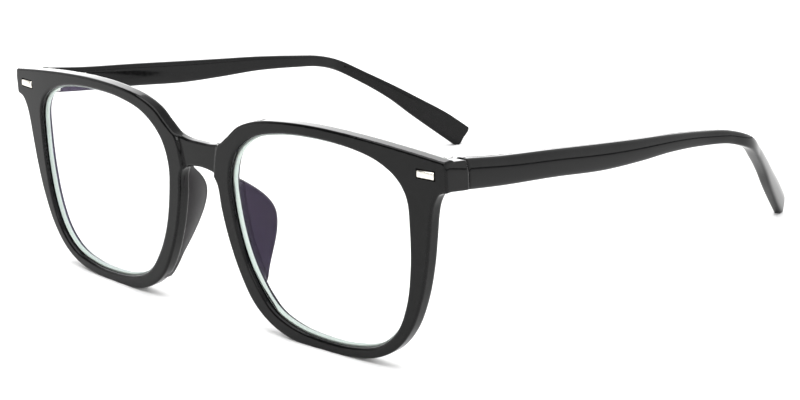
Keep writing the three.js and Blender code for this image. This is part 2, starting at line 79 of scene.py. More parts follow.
TOP_EDGE = [(0, 17.1), (4, 17.2), (7.6, 18), (10.6, 20.1), (14.2, 22.9), (20, 25.0), (28, 26.05),
            (38, 26.4), (50, 25.9), (62, 24.85), (END_X, END_TOP)]
LOWER_EDGE = [(END_X, END_BOTTOM), (70.4, 16.8), (69, 14.8), (68.2, 12), (67.5, 7), (66.5, 0.5),
              (64.6, -7), (61.5, -14), (57, -19.2), (51, -22.3), (43, -23.6), (35, -23.8),
              (27, -23.3), (20.5, -21), (15.5, -17), (11.8, -11), (9, -4), (7.2, 3), (6.3, 8.6),
              (4.8, 10.5), (2.5, 11.1), (0, 11.3)]
LIP = [(37.3, 23.9), (48, 23.1), (55.1, 21.3), (59.7, 18.4), (61.9, 14.8), (62.4, 8), (62.1, 0),
       (60.6, -8.5), (57.6, -15), (52.5, -19.2), (45, -21.1), (36.5, -21.4), (28, -20.4),
       (21.5, -17.7), (16.5, -11.8), (13.2, -5), (11.2, 3), (10.6, 10.5), (12.8, 16.5),
       (18.5, 21.1), (27, 23.3)]
BRIDGE_EDGE = [(14.6, 27), (13.6, 24.6), (10, 20.6), (7.3, 16.8), (5.9, 11), (5.2, 7)]

LENS_CENTRE = np.array([36.6, 1.2])
LENS_SET_BACK, LENS_RADIUS, LENS_THICKNESS = 0.6, 600.0, 1.2

TEMPLE_LINE = [  # y, z, height, thickness, x of the outer face
    (10.3, 19.7, 6.5, 3.9, 72.3), (22, 17.6, 6.2, 3.7, 72.3), (38, 15.25, 5.95, 3.5, 72.4),
    (54, 12.7, 5.9, 3.3, 72.4), (67, 11.1, 5.1, 3.2, 72.25), (80, 9.7, 4.05, 3.1, 71.75),
    (93, 7.7, 3.45, 3.1, 71.25), (103, 5.7, 3.2, 3.1, 71.4), (111, 2.65, 3.2, 3.1, 71.35),
    (118.5, -2.15, 3.4, 3.1, 68.5), (126, -7.5, 4.2, 3, 65.35), (133, -13.2, 5.6, 2.9, 62.45),
    (140, -18.8, 6.65, 2.7, 59.65), (146.4, -24.3, 6.8, 2.4, 57.15),
]

# ---- the stance, from the left hinge -------------------------------------------------------------

left_joint = next(j for j in frame["joints"] if j["name"] == "temple_fold_left")
lean = math.atan2(-left_joint["axis"][1], left_joint["axis"][2])
STAND = Matrix.Rotation(lean, 4, "X")
STAND = Matrix.Translation(Vector(left_joint["pos_m"]) - STAND @ Vector(PIN * MM)) @ STAND
STAND = STAND @ Matrix.Scale(MM, 4)


# ---- curves --------------------------------------------------------------------------------------


def smooth_curve(knots, closed=False, dense=24):
    """A centripetal Catmull-Rom curve through the knots, as many close points."""
    p = np.array(knots, float)
    if closed:
        p = np.vstack([p[-1:], p, p[:2]])
    else:
        p = np.vstack([2 * p[0] - p[1], p, 2 * p[-1] - p[-2]])
    out = []
    for a, b, c, d in zip(p, p[1:], p[2:], p[3:]):
        ab, bc, cd = (max(np.linalg.norm(q - r) ** 0.5, 1e-6) for q, r in ((a, b), (b, c), (c, d)))
        slope_b = ((b - a) / ab - (c - a) / (ab + bc) + (c - b) / bc) * bc
        slope_c = ((c - b) / bc - (d - b) / (bc + cd) + (d - c) / cd) * bc
        t = np.linspace(0, 1, dense, endpoint=False)[:, None]
        out.append((2 * t**3 - 3 * t**2 + 1) * b + (t**3 - 2 * t**2 + t) * slope_b
                   + (3 * t**2 - 2 * t**3) * c + (t**3 - t**2) * slope_c)
    out = np.vstack(out)
    return out if closed else np.vstack([out, p[-2]])


def evenly(curve, count, closed=False):
    """Points spread evenly by length along a polyline."""
    p = np.vstack([curve, curve[:1]]) if closed else curve
    run = np.concatenate([[0], np.cumsum(np.linalg.norm(np.diff(p, axis=0), axis=1))])
    at = np.linspace(0, run[-1], count + 1)[:-1] if closed else np.linspace(0, run[-1], count)
    return np.stack([np.interp(at, run, p[:, i]) for i in range(p.shape[1])], 1)


def rounded_corner(before, corner, after, radius, count=7):
    """Points round a corner, from `radius` before it to `radius` after it."""
    corner = np.array(corner, float)
    a = corner + radius * (before - corner) / np.linalg.norm(before - corner)
    b = corner + radius * (after - corner) / np.linalg.norm(after - corner)
    t = np.linspace(0, 1, count)[:, None]
    return (1 - t) ** 2 * a + 2 * t * (1 - t) * corner + t**2 * b


UPPER_CORNER_R, LOWER_CORNER_R = 0.5, 0.55  # of the end piece's outline
UPPER_CORNER_CLEAR, LOWER_CORNER_CLEAR = 0.9, 0.6  # where the two edges stop short of its side


def outer_outline():
    """The front's whole outline, anticlockwise as the wearer's front is seen."""
    top = evenly(smooth_curve(TOP_EDGE), 150)
    low = evenly(smooth_curve(LOWER_EDGE), 240)
    top = top[top[:, 0] < END_X - UPPER_CORNER_CLEAR]
    low = low[low[:, 0] < END_X - LOWER_CORNER_CLEAR]
    above, below = np.array([END_X, END_TOP]), np.array([END_X, END_BOTTOM])
    upper_corner = rounded_corner(top[-1], above, below, UPPER_CORNER_R)
    lower_corner = rounded_corner(above, below, low[0], LOWER_CORNER_R)
    half = np.vstack([top, upper_corner, lower_corner, low])
    other = half[1:-1][::-1] * [-1, 1]
    return np.vstack([half, other])[::-1]


lip_curve = evenly(smooth_curve(LIP, closed=True), 240, closed=True)


def grown(outline, distance):
    """A closed outline moved outwards."""
    along = np.roll(outline, -1, 0) - np.roll(outline, 1, 0)
    along /= np.linalg.norm(along, axis=1)[:, None]
    x, z = outline.T
    turn = np.sign(np.sum(x * np.roll(z, -1) - np.roll(x, -1) * z))
    return outline + turn * distance * np.stack([along[:, 1], -along[:, 0]], 1)


# ---- meshes --------------------------------------------------------------------------------------


def new_object(name, points, faces, smooth=True):
    mesh = bpy.data.meshes.new(name)
    mesh.from_pydata([tuple(p) for p in points], [], [tuple(int(i) for i in f) for f in faces])
    mesh.validate()
    mesh.update()
    if smooth:
        mesh.shade_smooth()
    obj = bpy.data.objects.new(name, mesh)
    bpy.context.scene.collection.objects.link(obj)
    return obj


def outward(obj):
    """Points every face of a closed mesh out."""
    bm = bmesh.new()
    bm.from_mesh(obj.data)
    bmesh.ops.recalc_face_normals(bm, faces=bm.faces)
    if bm.calc_volume(signed=True) < 0:
        bmesh.ops.reverse_faces(bm, faces=bm.faces)
    bm.to_mesh(obj.data)
    bm.free()
    return obj


def apply_modifiers(obj):
    depsgraph = bpy.context.evaluated_depsgraph_get()
    mesh = bpy.data.meshes.new_from_object(obj.evaluated_get(depsgraph))
    obj.modifiers.clear()
    obj.data = mesh
    return obj


def loft_faces(rings, count, closed_ends=True):
    """Quads over rings of `count` points each, with a cap at each end."""
    faces = []
    for r in range(rings - 1):
        for i in range(count):
            j = (i + 1) % count
            faces.append((r * count + i, r * count + j, (r + 1) * count + j, (r + 1) * count + i))
    if closed_ends:
        faces.append(tuple(range(count))[::-1])
        faces.append(tuple(range((rings - 1) * count, rings * count)))
    return faces


def cut_from(obj, *tools):
    """Boolean cuts. The tools are used up."""
    for tool in tools:
        m = obj.modifiers.new("cut", "BOOLEAN")
        m.operation, m.solver, m.object = "DIFFERENCE", "EXACT", tool
    apply_modifiers(obj)
    for tool in tools:
        bpy.data.objects.remove(tool)
    return obj


def sharpened(obj, degrees=35):
    obj.data.set_sharp_from_angle(angle=math.radians(degrees))
    return obj


def mirror_piece(obj, name):
    """The right side's copy of a left side piece, both still in the front's frame."""
    mesh = obj.data.copy()
    mesh.transform(Matrix.Scale(-1, 4, (1, 0, 0)))
    mesh.flip_normals()
    copy = bpy.data.objects.new(name, mesh)
    bpy.context.scene.collection.objects.link(copy)
    return copy


def place(obj, node, slot, *materials):
    """Stands a finished piece in the row frame, in place of its CAD node and on the node's body."""
    obj.data.transform(STAND)
    for material in materials:
        obj.data.materials.append(material)
    body = frame["nodes"][node]["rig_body"]
    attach(obj, body)
    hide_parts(node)
    return obj


def place_pair(obj, node, slot, *materials):
    """Places a left piece and its mirror image: node is the CAD nodes' name without its side."""
    other = mirror_piece(obj, f"{obj.name}_right")
    obj.name = f"{obj.name}_left"
    place(obj, f"{node}_left", slot, *materials)
    place(other, f"{node}_right", slot, *materials)


# ---- implicit surfaces ---------------------------------------------------------------------------


CHUNK = 4000  # points measured at a time


def polygon_distance(points, polygon):
    """Signed distance from points to a closed polygon, negative inside."""
    a, b = polygon, np.roll(polygon, -1, 0)
    edge = (b - a)[None]
    out = np.empty(len(points))
    for s in range(0, len(points), CHUNK):
        from_a = points[s:s + CHUNK, None, :] - a
        t = np.clip((from_a * edge).sum(2) / (edge**2).sum(2), 0, 1)
        gap = np.sqrt(((from_a - t[..., None] * edge) ** 2).sum(2).min(1))
        height = points[s:s + CHUNK, None, 1]
        low, high = a[None, :, 1] <= height, b[None, :, 1] <= height
        side = edge[..., 0] * from_a[..., 1] - from_a[..., 0] * edge[..., 1]
        winding = (low & ~high & (side < 0)).sum(1) - (~low & high & (side > 0)).sum(1)
        out[s:s + CHUNK] = np.where(winding != 0, -gap, gap)
    return out


class Field2D:
    """A function of x and z sampled on a grid, read back by cubic interpolation."""

    def __init__(self, function, low, high, step):
        self.low, self.step = np.array(low, float), step
        self.x = np.arange(low[0], high[0] + step, step)
        self.z = np.arange(low[1], high[1] + step, step)
        gx, gz = np.meshgrid(self.x, self.z, indexing="ij")
        self.values = function(np.stack([gx.ravel(), gz.ravel()], 1)).reshape(gx.shape)

    def __call__(self, x, z):
        u = np.clip((x - self.low[0]) / self.step, 1, len(self.x) - 2.001)
        v = np.clip((z - self.low[1]) / self.step, 1, len(self.z) - 2.001)
        i, j = u.astype(int), v.astype(int)
        total = 0
        for di, wi in enumerate(self.weights(u - i)):
            for dj, wj in enumerate(self.weights(v - j)):
                total = total + wi * wj * self.values[i + di - 1, j + dj - 1]
        return total

    @staticmethod
    def weights(t):
        return (-0.5 * t + t**2 - 0.5 * t**3, 1 - 2.5 * t**2 + 1.5 * t**3,
                0.5 * t + 2 * t**2 - 1.5 * t**3, -0.5 * t**2 + 0.5 * t**3)


def both(a, b, r):
    """Where two solids, given by signed distance, meet, with an edge rounded to radius r."""
    return np.minimum(np.maximum(a, b), -r) + np.hypot(np.maximum(a + r, 0), np.maximum(b + r, 0))


def net(field, low, high, cell, relax=3):
    """A quad mesh of the surface field = 0: one point in each cell it crosses, drawn onto it."""
    axes = [np.arange(l, h + cell, cell) for l, h in zip(low, high)]
    shape = tuple(len(a) for a in axes)
    values = np.empty(shape)
    gx, gz = np.meshgrid(axes[0], axes[2], indexing="ij")
    for j, y in enumerate(axes[1]):
        values[:, j, :] = field(gx, np.full_like(gx, y), gz)
    inside = values < 0
    cells = tuple(n - 1 for n in shape)
    crossings, owners, quads = [], [], []
    for axis in range(3):
        first = [slice(None)] * 3
        second = [slice(None)] * 3
        first[axis], second[axis] = slice(None, -1), slice(1, None)
        changes = inside[tuple(first)] != inside[tuple(second)]
        at = np.argwhere(changes)
        step = np.eye(3, dtype=int)[axis]
        f0, f1 = values[tuple(at.T)], values[tuple((at + step).T)]
        corner = np.stack([axes[k][at[:, k]] for k in range(3)], 1)
        point = corner + (f0 / (f0 - f1))[:, None] * step * cell
        u, v = (np.eye(3, dtype=int)[(axis + k) % 3] for k in (1, 2))
        around = ((0, 0), (1, 0), (1, 1), (0, 1))
        ring = [np.ravel_multi_index((at - s * u - t * v).T, cells) for s, t in around]
        for owner in ring:
            crossings.append(point)
            owners.append(owner)
        quad = np.stack(ring, 1)
        quads.append(np.where(inside[tuple(at.T)][:, None], quad, quad[:, ::-1]))
    crossings, owners, quads = np.vstack(crossings), np.concatenate(owners), np.vstack(quads)
    used, index = np.unique(owners, return_inverse=True)
    counts = np.bincount(index)
    points = np.stack([np.bincount(index, crossings[:, k]) / counts for k in range(3)], 1)
    quads = np.searchsorted(used, quads)
    for _ in range(relax):
        total, weight = np.zeros_like(points), np.zeros(len(points))
        for k in range(4):
            a, b = quads[:, k], quads[:, (k + 1) % 4]
            for s, t in ((a, b), (b, a)):
                total += np.stack([np.bincount(s, points[t, c], len(points)) for c in range(3)], 1)
                weight += np.bincount(s, minlength=len(points))
        points = 0.5 * points + 0.5 * total / weight[:, None]
        points = drawn_onto(field, points, cell)
    return points, quads


def drawn_onto(field, points, cell, steps=3):
    """Moves points onto the surface field = 0 along its slope, by half a cell a step at the most."""
    probe, least_slope = 0.01, 0.05
    for _ in range(steps):
        value = field(*points.T)
        slope = np.stack([field(*(points + probe * e).T) - value for e in np.eye(3)], 1) / probe
        move = -(value / np.maximum((slope**2).sum(1), least_slope))[:, None] * slope
        size = np.linalg.norm(move, axis=1)[:, None]
        points = points + move * np.minimum(1, 0.5 * cell / np.maximum(size, 1e-9))
    return points


# ---- front ---------------------------------------------------------------------------------------

OUTER_R, LIP_R, BACK_R, BACK_LIP_R = 0.45, 0.5, 1.0, 0.4  # roundings of the rim's four edges
STEP_WIDTH = 1.1  # of the slope down to the bridge's face
RETURN_R, RETURN_END_R = 0.5, 0.25  # roundings of the end piece's return, along it and at its ends
RETURN_START, RETURN_LEVEL, RETURN_FALL = 4.4, 5.0, -0.16  # y of its start, y where it falls, its slope
END_HALF = 3.2  # half height of the end piece's side face
CORNER_R = 0.3  # rounding between that face and all others
# The soft ridge along the side faces: (y, height above the middle as a part of the half height).
RIDGE_LINE = [(5, 0.3), (10.8, 0.12), (41, 0.02), (75, -0.12), (100, -0.1), (116, 0.15), (128, 0.25)]
RIDGE_SOFT = 0.06  # its rounding, as a part of the half height
UPPER_TILT, LOWER_TILT = math.radians(14), math.radians(1)  # of the facets above and below it
PLAN_STEP = 0.3  # between samples of the outlines' distance fields
FRONT_CELL = 0.29  # of the front's mesh
FRONT_MARGIN = 0.7

outline = outer_outline()
bridge_edge = evenly(smooth_curve(BRIDGE_EDGE), 60)
bridge_region = np.vstack([bridge_edge, (bridge_edge * [-1, 1])[::-1]])
plan_low, plan_high = (-1.2, -26), (75.6, 29)


def plan_field(polygon):
    """Distance from a polygon over the left half of the plan, which starts a little past the middle."""
    return Field2D(lambda p: polygon_distance(p, polygon), plan_low, plan_high, PLAN_STEP)


to_outline, to_lip, to_bridge = (plan_field(p) for p in (outline, lip_curve, bridge_region))


def outer_facets(v, half_height, y):
    """How far a side face falls away from its ridge, at v half heights above the middle."""
    ridge = np.interp(y, *np.transpose(RIDGE_LINE))
    up, down = (RIDGE_SOFT * np.logaddexp(0, s * (v - ridge) / RIDGE_SOFT) for s in (1, -1))
    return half_height * (math.tan(UPPER_TILT) * up + math.tan(LOWER_TILT) * down)


def front_field(x, y, z):
    """Below zero inside the front: the bowed rims with their set-back bridge, and the two returns."""
    x = np.abs(x)
    depth = y - BOW * x**2
    side, hole = to_outline(x, z), -to_lip(x, z)
    t = np.clip(-to_bridge(x, z) / STEP_WIDTH, 0, 1)
    face = BRIDGE_STEP * t**2 * (3 - 2 * t) - depth
    back = depth - FRONT_DEPTH
    rim = np.maximum(np.maximum(both(face, side, OUTER_R), both(face, hole, LIP_R)),
                     np.maximum(both(back, side, BACK_R), both(back, hole, BACK_LIP_R)))
    fall = RETURN_FALL * (y - RETURN_LEVEL)
    width = both(PIN[0] + INNER_FACE - x, x - END_X, RETURN_R)
    height = both(END_BOTTOM + fall - z, z - END_TOP - fall, RETURN_R)
    length = both(RETURN_START - y, y - PIN[1] + SEAM, RETURN_END_R)
    end_return = both(both(width, height, RETURN_R), length, RETURN_END_R)
    middle = (END_TOP + END_BOTTOM) / 2 + RETURN_FALL * np.maximum(y - RETURN_LEVEL, 0)
    side_face = x - END_X + outer_facets((z - middle) / END_HALF, END_HALF, y)
    whole = both(np.minimum(rim, end_return), side_face, CORNER_R)
    return np.maximum(whole, -floor_height(y, z))


def floor_height(y, z):
    """Height over the floor, in mm, of a point given in the front's frame."""
    m = np.array(STAND) / MM
    return y * m[2, 1] + z * m[2, 2] + m[2, 3]


# ---- small solids --------------------------------------------------------------------------------


def block(name, x0, x1, y0, y1, z0, z1, bevel=0.0):
    """A box between two corners, its edges rounded if a bevel is given."""
    corners = [(x, y, z) for x in (x0, x1) for y in (y0, y1) for z in (z0, z1)]
    faces = [(0, 1, 3, 2), (4, 6, 7, 5), (0, 4, 5, 1), (2, 3, 7, 6), (0, 2, 6, 4), (1, 5, 7, 3)]
    obj = outward(new_object(name, corners, faces, smooth=False))
    return bevelled(obj, bevel) if bevel else obj


def bevelled(obj, width, segments=3, degrees=35):
    m = obj.modifiers.new("bevel", "BEVEL")
    m.width, m.segments, m.limit_method = width, segments, "ANGLE"
    m.angle_limit = math.radians(degrees)
    return apply_modifiers(obj)


def turned(name, profile, segments=48):
    """A solid of revolution about z from (radius, height) pairs that start and end on the axis."""
    inner = np.array(profile[1:-1], float)
    angles = np.linspace(0, 2 * math.pi, segments, endpoint=False)
    circle = np.stack([np.cos(angles), np.sin(angles)], 1)
    rings = [np.column_stack([r * circle, np.full(segments, z)]) for r, z in inner]
    return outward(new_object(name, np.vstack(rings), loft_faces(len(rings), segments)))


def bar(name, r, z0, z1, segments=48):
    return turned(name, [(0, z0), (r, z0), (r, z1), (0, z1)], segments)


def moved(obj, *steps):
    for step in steps:
        obj.data.transform(step)
    return obj


def shift(x, y, z):
    return Matrix.Translation((x, y, z))


def turn(axis, angle):
    return Matrix.Rotation(angle, 4, axis)


def joined(obj, *others):
    for other in others:
        m = obj.modifiers.new("join", "BOOLEAN")
        m.operation, m.solver, m.object = "UNION", "EXACT", other
    apply_modifiers(obj)
    for other in others:
        bpy.data.objects.remove(other)
    return obj


# ---- lens ----------------------------------------------------------------------------------------

GROOVE_GAP = 0.3  # between the lens and its groove
LENS_TUCK, LENS_V = 0.4, 0.55  # the faces end inside the lip, and the V edge reaches outside it
V_BLUNT, V_HALF_WIDTH = 0.12, 0.12  # the V's point is cut off by this part, to this half width


def lens_depth(p):
    return LENS_SET_BACK + ((p - LENS_CENTRE) ** 2).sum(1) / (2 * LENS_RADIUS)


def lens_loft(name, extra, thickness, steps):
    """The lens, or with extra > 0 its groove: rings on the front face, the V edge and the back face."""
    face_rim = grown(lip_curve, extra - LENS_TUCK)
    v_rim = grown(lip_curve, extra + LENS_V)
    rings = []

    def ring(plan, y):
        depth = lens_depth(plan) + BOW * plan[:, 0] ** 2 + y
        rings.append(np.stack([plan[:, 0], depth, plan[:, 1]], 1))

    for t in steps:
        ring(LENS_CENTRE + (face_rim - LENS_CENTRE) * t, -extra)
    for y in (-V_HALF_WIDTH, V_HALF_WIDTH):
        ring(V_BLUNT * face_rim + (1 - V_BLUNT) * v_rim, thickness / 2 + y)
    for t in reversed(steps):
        ring(LENS_CENTRE + (face_rim - LENS_CENTRE) * t, thickness + extra)
    return outward(new_object(name, np.vstack(rings), loft_faces(len(rings), len(face_rim))))


def lens():
    """Both faces are glassy, and the V edge between them is ground."""
    steps = [0.02, 0.1, 0.2, 0.3, 0.4, 0.5, 0.6, 0.7, 0.8, 0.88, 0.94, 0.98, 1]
    obj = lens_loft("lens", 0, LENS_THICKNESS, steps)
    edge_start = (len(steps) - 1) * len(lip_curve)
    edge_end = (len(steps) + 2) * len(lip_curve)
    for i, face in enumerate(obj.data.polygons):
        face.material_index = 1 if edge_start <= i < edge_end else 0
    return sharpened(obj, 25)


# ---- front ---------------------------------------------------------------------------------------

LEAF_SCREW_X, LEAF_SCREW_Z = 63.9, (PIN[2] - 1.55, PIN[2] + 1.55)
BARREL_HEIGHT = 4.8
PLAQUE_X, PLAQUE_Z, PLAQUE_W, PLAQUE_H = 67.35, 20.6, 4.3, 1.6
PLAQUE_DEPTH, PLAQUE_PROUD = 1.0, 0.35
RECESS_GAP, RECESS_DEPTH = 0.26, 0.8
SEAT_INBOARD, SEAT_GAP = 62.3, 0.3  # the leaf's seat: its inboard x, and its clearance above and below


def on_end_piece():
    """The move that sets a piece drawn on y = 0 onto the bowed face at the plaque's place."""
    return shift(PLAQUE_X, BOW * PLAQUE_X**2, PLAQUE_Z) @ turn("Z", math.atan(2 * BOW * PLAQUE_X))


def front():
    reach = END_X + FRONT_MARGIN
    low, high = (-reach, -0.5, -24.6), (reach, PIN[1] + 0.4, 26.8)
    points, quads = net(front_field, low, high, FRONT_CELL)
    obj = outward(new_object("front_frame", points, quads))
    w, h = PLAQUE_W / 2 + RECESS_GAP, PLAQUE_H / 2 + RECESS_GAP
    half = BARREL_HEIGHT / 2 + SEAT_GAP
    inner, seat_z = PIN[0] + INNER_FACE, (PIN[2] - half, PIN[2] + half)
    tools = []
    for side in (LEFT, RIGHT):
        mirror = Matrix.Scale(side, 4, (1, 0, 0))
        recess = moved(block("recess", -w, w, -1.5, RECESS_DEPTH, -h, h), on_end_piece())
        seat = block("seat", SEAT_INBOARD, inner, SEAT_Y, PIN[1] + 1.2, *seat_z)
        groove = lens_loft("groove", GROOVE_GAP, LENS_THICKNESS, [0.3, 0.8, 1])
        for tool in (recess, seat, groove):
            tools.append(outward(moved(tool, mirror)))
    return sharpened(cut_from(obj, *tools), 40)


def plaque():
    """A bar with a faceted face: a flat field, a slope above it and a chamfer all round."""
    w, h, back = PLAQUE_W / 2, PLAQUE_H / 2, PLAQUE_DEPTH - PLAQUE_PROUD
    lower_chamfer = [(-h, -0.08), (-h + 0.05, -0.16), (-h + 0.2, -0.31), (-h + 0.28, -PLAQUE_PROUD)]
    upper_slope = [(0.1, -PLAQUE_PROUD), (0.15, -0.345), (h - 0.22, -0.275), (h - 0.16, -0.23)]
    upper_chamfer = [(h - 0.03, -0.03), (h, 0.04)]
    profile = [(-h, back), *lower_chamfer, *upper_slope, *upper_chamfer, (h, back)]
    side_chamfer = [(0, 0.28), (0.05, 0.16), (0.16, 0.04), (0.28, 0)]  # from the side, drawn in by
    rings = []
    for x, inset in side_chamfer:
        rings.append([(x - w, y + (inset if y < back else 0), z) for z, y in profile])
    rings += [[(-x, y, z) for x, y, z in ring] for ring in reversed(rings)]
    obj = new_object("rivet_plaque", np.vstack(rings), loft_faces(len(rings), len(profile)))
    return moved(sharpened(outward(obj), 25), on_end_piece())


# ---- nose pads -----------------------------------------------------------------------------------

PAD_TOP, PAD_BOTTOM, PAD_FULL_Z = 10.4, -19.0, 0.5
PAD_REACH, PAD_FOOT = 8.3, 0.15  # behind the rim: where it is fullest, and at its ends
PAD_FLARE = 3.0  # its back edge lies this far outboard of its foot
PAD_EDGE_R = 1.1
PAD_ROOT = 2.0  # moulded into the back of the rim by this much
PAD_TURN = 0.25  # radians by which the round of its back edge leans outboard
PAD_DOME = 0.5  # by which its nose side bulges
PAD_INSET_NOSE, PAD_INSET_LIP = 0.04, 0.5  # of its foot, from the two edges of the rim
PAD_RINGS, PAD_SIDE_STEPS, PAD_EDGE_STEPS = 90, 12, 17
NOSE = [(5.3, 12), (6.3, 8.6), (7.2, 3), (9, -4), (11.8, -11), (15.5, -17), (18.6, -20)]
PAD_LIP = [(11, 13), (10.6, 10.5), (11.2, 3), (13.2, -5), (16.5, -11.8), (21.5, -17.7), (24, -20)]


def x_at(curve, z):
    return float(np.interp(-z, -curve[:, 1], curve[:, 0]))


def pad_swell(z):
    """Rises quickly from 0 at the top to 1 at the fullest part, and fades slowly to the bottom."""
    if z > PAD_FULL_Z:
        return math.sin((PAD_TOP - z) / (PAD_TOP - PAD_FULL_Z) * math.pi / 2)
    t = (z - PAD_BOTTOM) / (PAD_FULL_Z - PAD_BOTTOM)
    return t * t * (3 - 2 * t)


def pad_section(z, inner, outer):
    """One level section: up the nose side, round the back edge and down the lip side."""
    swell = pad_swell(z)
    reach = PAD_FOOT + (PAD_REACH - PAD_FOOT) * swell
    foot = FRONT_DEPTH + BOW * outer**2
    r = min(PAD_EDGE_R, reach / 2, (outer - inner) / 2)
    tip = np.array([inner + r + PAD_FLARE * swell, foot + reach - r])
    nose_root, lip_root = np.array([inner, foot - PAD_ROOT]), np.array([outer, foot - PAD_ROOT])
    angles = np.linspace(math.pi - PAD_TURN, -PAD_TURN, PAD_EDGE_STEPS)
    edge = tip + r * np.stack([np.cos(angles), np.sin(angles)], 1)
    side_end = tip + r * np.array([-math.cos(PAD_TURN), math.sin(PAD_TURN)])
    t = np.linspace(0, 1, PAD_SIDE_STEPS, endpoint=False)[1:, None]
    dome = np.array([PAD_DOME * swell, 0]) * np.sin(t * math.pi)
    nose_side = nose_root + (side_end - nose_root) * t - dome
    back = np.array([outer, foot])
    lip_side = edge[-1] + (back - edge[-1]) * np.linspace(0, 1, PAD_SIDE_STEPS)[1:, None]
    section = np.vstack([nose_root, nose_side, edge, lip_side, lip_root])
    return np.column_stack([section, np.full(len(section), z)])


def nose_pad():
    nose, lip = smooth_curve(NOSE), smooth_curve(PAD_LIP)
    rings = []
    for s in np.linspace(0, 1, PAD_RINGS):
        z = PAD_TOP + (PAD_BOTTOM - PAD_TOP) * (1 - math.cos(s * math.pi)) / 2
        rings.append(pad_section(z, x_at(nose, z) + PAD_INSET_NOSE, x_at(lip, z) - PAD_INSET_LIP))
    obj = outward(new_object("nose_pad", np.vstack(rings), loft_faces(len(rings), len(rings[0]))))
    return sharpened(obj, 50)


# ---- temple --------------------------------------------------------------------------------------

TEMPLE_RINGS, SECTION_POINTS = 220, 56
SQUARE_OVER = 3.0  # the butt is square to the end piece, and turns with the temple over this length
BUTT_POWER, POWER_DROP = 5.5, 1.2  # squareness of the section: at the butt, and lost over a quarter
BUTT = [(0.93, 0), (0.975, 0.06), (1, 0.22)]  # its rounding: size of each ring and its y past the seam
FACET_BLEND = 1.6  # how quickly the outer facets set in past the middle of the section
TIP_R, TIP_LENGTH = 1.0, 0.6  # the tip closes over a rounding this wide and this long


def temple_section(width, height, power, y):
    ring = []
    for a in np.linspace(0, 2 * math.pi, SECTION_POINTS, endpoint=False):
        u, v = (math.copysign(abs(c) ** (2 / power), c) for c in (math.cos(a), math.sin(a)))
        x, z = width / 2 * u, height / 2 * v
        if u > 0:
            x -= min(u * FACET_BLEND, 1) * outer_facets(v, height / 2, y)
        ring.append((x, z))
    return np.array(ring)


def temple_rings(rows, centres, along, start_turn):
    """A section at each row of the temple's line, square to the line except near the butt."""
    rings = []
    for i, (c, d) in enumerate(zip(centres, along)):
        d = np.array([0, 1, 0]) * (1 - start_turn[i]) + d * start_turn[i]
        d /= np.linalg.norm(d)
        out = np.array([d[1], -d[0], 0]) / math.hypot(d[0], d[1])
        up = np.cross(out, d)
        power = BUTT_POWER - POWER_DROP * min(1, 4 * i / TEMPLE_RINGS)
        plan = temple_section(rows[i, 3], rows[i, 2], power, rows[i, 0])
        rings.append(c + plan[:, :1] * out + plan[:, 1:] * up)
    return rings


def temple():
    line = smooth_curve(TEMPLE_LINE, dense=60)
    run = np.concatenate([[0], np.cumsum(np.linalg.norm(np.diff(line[:, :2], axis=0), axis=1))])
    start = np.interp(PIN[1] + SEAM, line[:, 0], run)
    at = np.linspace(start, run[-1], TEMPLE_RINGS)
    rows = np.stack([np.interp(at, run, line[:, i]) for i in range(5)], 1)
    centres = np.stack([rows[:, 4] - rows[:, 3] / 2, rows[:, 0], rows[:, 1]], 1)
    along = np.gradient(centres, axis=0)
    along /= np.linalg.norm(along, axis=1)[:, None]
    rings = temple_rings(rows, centres, along, np.minimum(1, (at - start) / SQUARE_OVER))
    middle, end_middle = rings[0].mean(0), rings[-1].mean(0)
    butt = [middle + (rings[0] - middle) * size + np.array([0, y, 0]) for size, y in BUTT]
    clear = butt[-1][:, 1].max() + 0.02
    rings = butt + [r for r in rings[1:] if r[:, 1].min() > clear]
    last, push = rings[-1], along[-1]
    half = np.linalg.norm(last - end_middle, axis=1)[:, None]
    for a in np.linspace(0, math.pi / 2, 10)[1:]:
        shrink = 1 - TIP_R * (1 - math.cos(a)) / half
        rings.append(end_middle + (last - end_middle) * shrink + push * TIP_LENGTH * math.sin(a))
    obj = outward(new_object("temple", np.vstack(rings), loft_faces(len(rings), SECTION_POINTS)))
    for vertex in obj.data.vertices:
        vertex.co.z += max(0, -floor_height(vertex.co.y, vertex.co.z))
    return sharpened(obj, 50)


# ---- hinge and screws ----------------------------------------------------------------------------

BARREL_R, BORE_R, KNUCKLE_GAP, LEAF = 1.5, 0.85, 0.2, 0.9
LEAF_GAP = 0.3  # between a leaf and its seat
LEAF_BEVEL = 0.09
FRONT_LEAF_REACH = 4.1  # inboard of the pin
TEMPLE_LEAF_FROM, TEMPLE_LEAF_TO, TEMPLE_LEAF_HALF = 1.8, 10.3, 1.6
TEMPLE_SLOPE = 0.165  # fall of the temple per length, near the hinge
TEMPLE_SCREWS = (4.4, 8.2)  # back from the pin, along the leaf
PIN_R, PIN_HEAD_R, PIN_HEAD = 0.6, 1.1, 0.55
SMALL_R, SMALL_HEAD_R, SMALL_HEAD, SMALL_DEPTH = 0.5, 0.95, 0.45, 2.3
SMALL_HOLE_R = 0.7
HEAD_CLEAR = 0.1  # between a screw's head and what it holds
to_pin = shift(*PIN)
along_temple = turn("X", -math.atan(TEMPLE_SLOPE))
knuckle_height = (BARREL_HEIGHT - 2 * KNUCKLE_GAP) / 3


def knuckle(n, x0, x1, y0, y1):
    z = -BARREL_HEIGHT / 2 + n * (knuckle_height + KNUCKLE_GAP)
    arm = block("arm", x0, x1, y0, y1, z, z + knuckle_height)
    return joined(bar("knuckle", BARREL_R, z, z + knuckle_height), arm)


